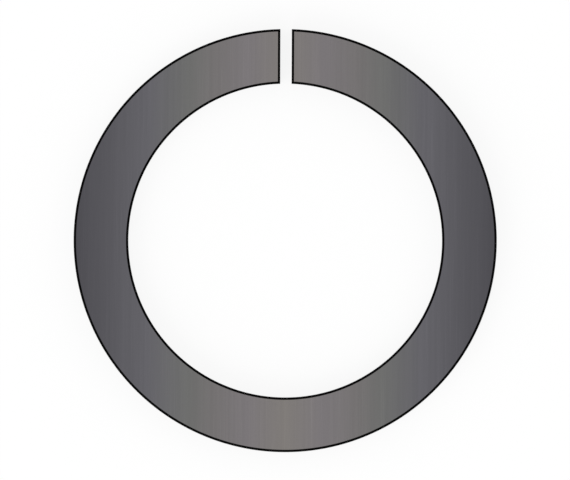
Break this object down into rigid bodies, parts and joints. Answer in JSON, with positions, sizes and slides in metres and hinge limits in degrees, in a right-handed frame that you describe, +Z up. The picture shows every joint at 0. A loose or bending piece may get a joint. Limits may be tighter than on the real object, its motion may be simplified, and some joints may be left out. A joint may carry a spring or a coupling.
{
  "type": "snap ring",
  "caption": "Flat split retaining ring of even radial width, with a narrow parallel-sided gap and lightly rounded rims, that springs into a groove round a shaft.",
  "frame": {"origin": "on the ring's axis, at its lower flat face", "axes": "+Z up along the ring's axis, square to its flat faces; +Y through the middle of the gap"},
  "size_m": [0.0148, 0.0148, 0.001],
  "materials": {
    "spring_steel": "satin"
  },
  "bodies": {
    "root": {"snap_ring": "spring_steel"}
  },
  "joints": []
}
